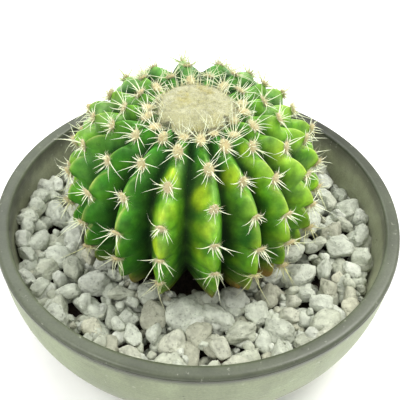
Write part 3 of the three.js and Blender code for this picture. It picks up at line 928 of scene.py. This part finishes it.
def crown_height(radius, turn):
    """Height of the wool's top over the crown, lumpy and falling to its edge."""
    radius = np.minimum(radius, CROWN_RADIUS)
    dome = np.sqrt(np.clip(1 - (radius / CROWN_RADIUS) ** 2.4, 0, 1))
    spots = polar(radius, turn, 0.0).reshape(-1, 3)
    lumps = rough(spots, 0.22, 4.0).reshape(radius.shape)
    fine = rough(spots, 0.7, 8.0).reshape(radius.shape)
    body = np.interp(radius, CREST_RADIUS, CREST_HEIGHT)
    return body + 0.3 + CROWN_THICKNESS * dome * (1 + 0.3 * lumps + 0.16 * fine)


def wool_tint(points):
    """Cream wool with yellowish patches to the back and the left."""
    local = points - PLANT_PLACE
    patches = rough(local, 0.16, 11.0) + 0.5 * rough(local, 0.5, 2.0)
    back = step(local[:, 1] * 0.8 - local[:, 0] * 0.25, -2, 11)
    colour = mix(WOOL_CREAM, WOOL_YELLOW, step(patches + 0.5 * back, 0.15, 0.8) * 0.75)
    return mix(colour, WOOL_PALE, step(rough(local, 0.3, 6.0), 0.1, 0.6) * 0.6)


def make_crown(wool):
    """The wool's solid pad: a low dome with a ragged edge, closed underneath."""
    turn = np.arange(CROWN_SEGMENTS) * 2 * math.pi / CROWN_SEGMENTS
    edge = 1 + 0.03 * np.cos((turn - FIRST_RIB) * RIB_COUNT) + 0.07 * np.sin(turn * 3 + 1)
    edge += 0.06 * np.sin(turn * 7 + 2) + 0.04 * np.sin(turn * 11 + 4)
    share = np.linspace(0.02, 1.0, CROWN_RINGS)[:, None] ** 0.8
    radius = share * CROWN_RADIUS * edge[None]
    turn = np.broadcast_to(turn, radius.shape)
    height = crown_height(radius, turn)
    top = polar(radius, turn, height)
    floor = np.interp(CROWN_RADIUS, CREST_RADIUS, CREST_HEIGHT) - 0.4
    under = top[-1] * [0.9, 0.9, 0] + [0, 0, floor]
    ends = [[0, 0, height[0].mean() + 0.02], [0, 0, floor]]
    points = np.concatenate([top.reshape(-1, 3), under, ends]) + PLANT_PLACE
    faces = capped_faces(CROWN_RINGS + 1, CROWN_SEGMENTS)
    add_piece("crown_wool_pad", points, faces, wool, "crown_wool", wool_tint(points))


def make_crown_fibres(wool):
    """Curly fibres lying every way over the crown's wool, and a little past its edge."""
    count = CROWN_FIBRES
    radius = CROWN_RADIUS * np.sqrt(rng.uniform(0, 1.16, count))
    turn = rng.uniform(0, 2 * math.pi, count)
    roots = polar(radius, turn, crown_height(radius, turn) - 0.3) + PLANT_PLACE
    ways = rng.normal(0, 1, (count, 3)) * [1, 1, 0.4] + [0, 0, 0.25]
    bends = rng.normal(0, 0.6, (count, 3)) - [0, 0, 0.2]
    lengths = rng.uniform(*CROWN_FIBRE_LENGTHS, count)
    radii = np.full(count, CROWN_FIBRE_RADIUS)
    points, faces, _ = hairs(roots, ways, bends, lengths, radii, sides=3, rings=3)
    tint = wool_tint(roots) * rng.uniform(0.93, 1.07, (count, 1))
    tint = np.repeat(tint, len(points) // count, axis=0)
    add_piece("crown_wool_fibres", points, [faces], wool, "crown_wool", tint)


def make_crown_spines(material):
    """Young spines that stand out of the wool in a loose ring near its edge, longer at the back."""
    count = CROWN_SPINES
    turn = np.arange(count) * 2 * math.pi / count + rng.uniform(-0.06, 0.06, count)
    radius = CROWN_RADIUS * rng.uniform(0.78, 1.04, count)
    roots = polar(radius, turn, crown_height(radius, turn) - 0.8) + PLANT_PLACE
    lean = rng.uniform(0.25, 0.95, count)
    ways = polar(np.sin(lean), turn, np.cos(lean)) + rng.normal(0, 0.14, (count, 3))
    bends = rng.normal(0, 0.1, (count, 3))
    lengths = rng.uniform(*CROWN_SPINE_LENGTHS, count) * (0.8 + 0.3 * np.sin(turn))
    radii = rng.uniform(*CROWN_SPINE_RADII, count)
    points, faces, along = hairs(roots, ways, bends, lengths, radii, sides=5, rings=5)
    tint = mix(SPINE_ROOT, SPINE_CREAM, step(along, 0.1, 0.5))
    add_piece("crown_young_spines", points, [faces], material, "crown_wool", tint)


# Gravel


class Dice:
    """Seeded random numbers from 0 to 1 (mulberry32)."""

    def __init__(self, seed):
        self.state = seed

    def roll(self):
        self.state = (self.state + 0x6D2B79F5) & 0xFFFFFFFF
        t = ((self.state ^ (self.state >> 15)) * (self.state | 1)) & 0xFFFFFFFF
        t = ((t + (t ^ (t >> 7)) * (t | 61)) & 0xFFFFFFFF) ^ t
        return (t ^ (t >> 14)) / 2**32

    def spread(self, amount):
        return (self.roll() * 2 - 1) * amount


def place_stones(seed, count, smallest, largest, middle):
    """A layer of stones: each one's place, size, proportions and turn. They start spread by the
    golden angle, and are pushed apart out of each other's room."""
    dice = Dice(seed)
    inner, outer = STONE_INNER_RADIUS**2, STONE_OUTER_RADIUS**2
    stones = []
    for number in range(count):
        radius = math.sqrt(inner + (outer - inner) * (number + 0.5) / count)
        angle = number * math.pi * (3 - math.sqrt(5)) + dice.spread(0.1)
        stones.append({
            "x": radius * math.cos(angle), "y": radius * math.sin(angle), "z": middle + dice.spread(0.6),
            "size": smallest + (largest - smallest) * dice.roll() ** 1.3,
            "width": 0.74 + dice.spread(0.16), "thickness": 0.6 + dice.spread(0.1),
            "tilt": dice.spread(0.35), "turn": dice.roll() * 2 * math.pi,
        })
    for _ in range(STONE_ROUNDS):
        for number, stone in enumerate(stones):
            for other in stones[:number]:
                push_apart(stone, other)
        for stone in stones:
            keep_between(stone, PLANT_X, PLANT_Y, STONE_INNER_RADIUS + stone["size"] * 0.6, math.inf)
            keep_between(stone, 0, 0, 0, STONE_OUTER_RADIUS - stone["size"] * 0.75)
    return stones


def push_apart(first, second):
    """Moves two stones away from each other, where one takes the other's room."""
    x, y = first["x"] - second["x"], first["y"] - second["y"]
    room = STONE_ROOM * (first["size"] + second["size"])
    gap = math.hypot(x, y)
    if gap >= room:
        return
    share = 0.4 * (room - gap) / gap
    first["x"] += x * share
    first["y"] += y * share
    second["x"] -= x * share
    second["y"] -= y * share


def keep_between(stone, x, y, nearest, farthest):
    """Moves a stone straight in or out, until it is from nearest to farthest away from a centre."""
    away = math.hypot(stone["x"] - x, stone["y"] - y)
    grow = min(farthest, max(nearest, away)) / away
    stone["x"] = x + (stone["x"] - x) * grow
    stone["y"] = y + (stone["y"] - y) * grow


def lowest_spot(tries, size, spots, sizes):
    """Where a chip lies lowest on the stones at spots, of some places to try off the plant."""
    gaps = ((tries[:, None] - spots[None, :, :2]) ** 2).sum(axis=2)
    rise = 0.72 * np.sqrt(np.clip(sizes**2 - gaps, 0, None))
    tops = np.where(rise > 0, spots[:, 2] + rise, SOIL_TOP).max(axis=1)
    away = np.hypot(*(tries - [PLANT_X, PLANT_Y]).T)
    tops[away < CHIP_PLANT_GAP + size * 0.75] = math.inf
    best = tops.argmin()
    return *tries[best], tops[best] + size * 0.3


def fill_gaps(stones):
    """Chips on and between the stones: first a row along the wall, and then all over. Each is
    smaller than the one before it."""
    total = len(stones) + CHIP_COUNT
    spots, sizes = np.zeros((total, 3)), np.zeros(total)
    for number, stone in enumerate(stones):
        spots[number] = stone["x"], stone["y"], stone["z"]
        sizes[number] = stone["size"] * 0.86
    smallest, largest = CHIP_SIZES
    chips = []
    for number in range(len(stones), total):
        done = (number - len(stones)) / CHIP_COUNT
        size = smallest + (largest - smallest) * (1 - done) ** 1.5
        nearest, farthest = CHIP_INNER_RADIUS + size, CHIP_OUTER_RADIUS - size
        turn = rng.uniform(0, 2 * math.pi, CHIP_TRIES)
        radius = np.sqrt(rng.uniform(nearest**2, farthest**2, CHIP_TRIES))
        if number - len(stones) < WALL_CHIPS:
            place = number * 2 * math.pi / WALL_CHIPS * WALL_CHIP_STRIDE
            turn = turn * 0.02 + place + WALL_CHIP_CROWDING * math.sin(place)
            radius = WALL_CHIP_RADIUS - size * rng.uniform(0.85, 1.3, CHIP_TRIES)
        tries = np.stack([radius * np.cos(turn), radius * np.sin(turn)], axis=1)
        x, y, z = lowest_spot(tries, size, spots[:number], sizes[:number])
        spots[number], sizes[number] = (x, y, z), size
        chips.append({
            "x": x, "y": y, "z": z, "size": size,
            "width": rng.uniform(0.6, 0.95), "thickness": rng.uniform(0.5, 0.85),
            "tilt": rng.uniform(-0.8, 0.8), "turn": rng.uniform(0, 2 * math.pi),
        })
    return chips


def stone_points(ball, stone, seed):
    """One broken stone: a ball cut by planes, with worn edges, then lumps, layers, grain and a
    few cracks."""
    normals = unit(rng.normal(0, 1, (STONE_PLANES, 3)))
    depths = rng.uniform(0.56, 0.92, STONE_PLANES)
    faced = np.clip(ball @ normals.T, 0, None) / depths
    reach = ((faced**STONE_SHARPNESS).sum(axis=1) + 1.0) ** (-1 / STONE_SHARPNESS) * 1.12
    reach += 0.09 * rough(ball, 1.4, seed) + 0.05 * rough(ball, 3.1, seed + 5)
    reach += 0.035 * rough(ball * [1.6, 1.6, 7.0], 1.0, seed + 21) + 0.03 * rough(ball, 8.0, seed + 9)
    reach -= 0.1 * bell(rough(ball, 1.7, seed + 13) / 0.06)
    points = ball * reach[:, None] * [1.08, 1.08 * stone["width"], 1.1 * stone["thickness"]]
    turn = Matrix.Rotation(stone["turn"], 3, "Z") @ Matrix.Rotation(stone["tilt"], 3, "X")
    return points @ np.array(turn).T * stone["size"] + [stone["x"], stone["y"], stone["z"]]


PUMICE_TONES = [
    linear(208, 213, 197), linear(202, 207, 190), linear(194, 198, 179), linear(216, 220, 206),
    linear(184, 185, 165), linear(203, 205, 186), linear(203, 203, 181),
]
PUMICE_ODDS = [0.26, 0.22, 0.18, 0.18, 0.08, 0.06, 0.02]


def make_gravel():
    """The stones and chips as five pieces. Each stone has a tone picked by chance, and small and
    hidden ones have fewer faces."""
    top, lower = place_stones(**TOP_STONES), place_stones(**LOWER_STONES)
    chips = fill_gaps(lower + top)
    fine, coarse = unit_ball(4), unit_ball(3)
    half = len(top) // 2
    groups = {
        "gravel_top_a": (top[:half], fine),
        "gravel_top_b": (top[half:], fine),
        "gravel_chips": ([chip for chip in chips if chip["size"] > FINE_CHIP], fine),
        "gravel_grit": ([chip for chip in chips if chip["size"] <= FINE_CHIP], coarse),
        "gravel_lower": (lower, coarse),
    }
    pumice = make_pumice()
    for name, (stones, (ball, faces)) in groups.items():
        parts = []
        for number, stone in enumerate(stones):
            points = stone_points(ball, stone, number * 2.7)
            tone = PUMICE_TONES[rng.choice(len(PUMICE_TONES), p=PUMICE_ODDS)]
            tone = tone * rng.uniform(0.88, 1.08)
            tint = tone * (1 + 0.08 * rough(ball, 2.0, number))[:, None]
            parts.append((points, faces, tint))
        points, triangles, tint = joined(parts)
        add_piece(name, points, triangles, pumice, "gravel", tint)


# Floor, light and camera


def make_stage():
    """A wide white floor."""
    mesh = bpy.data.meshes.new("floor")
    corners = [(-1, -1, 0), (1, -1, 0), (1, 1, 0), (-1, 1, 0)]
    mesh.from_pydata((np.array(corners) * FLOOR_HALF).tolist(), [], [(0, 1, 2, 3)])
    nodes = Nodes("floor_paint")
    grain = nodes.remap(nodes.noise(40, 2), 0.3, 0.7)
    paint = nodes.blend(grain, linear(248, 248, 246), linear(252, 252, 251))
    mesh.materials.append(nodes.finish(paint, 0.9))
    add_object("floor", mesh)


def add_lamp(name, place, width, power, colour):
    """A round soft lamp that faces LAMP_TARGET."""
    data = bpy.data.lights.new(name, "AREA")
    data.shape = "DISK"
    data.size = width
    data.energy = power
    data.color = colour
    lamp = add_object(name, data)
    lamp.location = place
    aim = Vector(LAMP_TARGET) - Vector(place)
    lamp.rotation_euler = aim.to_track_quat("-Z", "Y").to_euler()


def make_light():
    """Even white light from all round, and the lamps."""
    scene = bpy.context.scene
    world = bpy.data.worlds.new("studio")
    world.use_nodes = True
    world.node_tree.nodes["Background"].inputs["Color"].default_value = (1.0, 1.0, 1.0, 1.0)
    scene.world = world
    scene.view_settings.view_transform = "Standard"
    for lamp in LAMPS:
        add_lamp(*lamp)


def make_camera():
    """The camera, which looks down at the middle of the rim with a slight roll."""
    centre = Vector((0, 0, BOWL_HEIGHT * MM))
    back = Vector((0, -math.cos(CAMERA_ELEVATION), math.sin(CAMERA_ELEVATION)))
    right = Vector((1, 0, 0))
    up = back.cross(right)
    rolled_right = right * math.cos(CAMERA_ROLL) + up * math.sin(CAMERA_ROLL)
    rolled_up = up * math.cos(CAMERA_ROLL) - right * math.sin(CAMERA_ROLL)
    data = bpy.data.cameras.new("camera")
    data.sensor_width = SENSOR_WIDTH
    data.lens = FOCAL_PIXELS / FRAME * SENSOR_WIDTH
    data.shift_x = (FRAME / 2 - RIM_CENTRE_PIXEL[0]) / FRAME
    data.shift_y = (RIM_CENTRE_PIXEL[1] - FRAME / 2) / FRAME
    data.clip_start = 0.01
    camera = add_object("camera", data)
    turn = Matrix((rolled_right, rolled_up, back)).transposed().to_4x4()
    camera.matrix_world = Matrix.Translation(centre + back * CAMERA_DISTANCE * MM) @ turn
    bpy.context.scene.camera = camera


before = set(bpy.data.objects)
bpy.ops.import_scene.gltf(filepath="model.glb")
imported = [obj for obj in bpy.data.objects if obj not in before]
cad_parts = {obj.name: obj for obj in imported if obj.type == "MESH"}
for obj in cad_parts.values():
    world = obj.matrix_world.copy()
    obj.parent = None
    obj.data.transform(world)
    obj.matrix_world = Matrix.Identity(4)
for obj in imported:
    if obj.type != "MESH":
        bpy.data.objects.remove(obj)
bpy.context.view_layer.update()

make_bowl()
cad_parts["soil"].data.materials.clear()
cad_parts["soil"].data.materials.append(make_soil())
make_gravel()
make_body()
wool_material = make_wool()
spine_material = make_spine()
areole_list = areoles()
make_spines(areole_list, spine_material)
make_pads(areole_list, wool_material)
make_crown(wool_material)
make_crown_fibres(wool_material)
make_crown_spines(spine_material)
make_stage()
make_light()
make_camera()
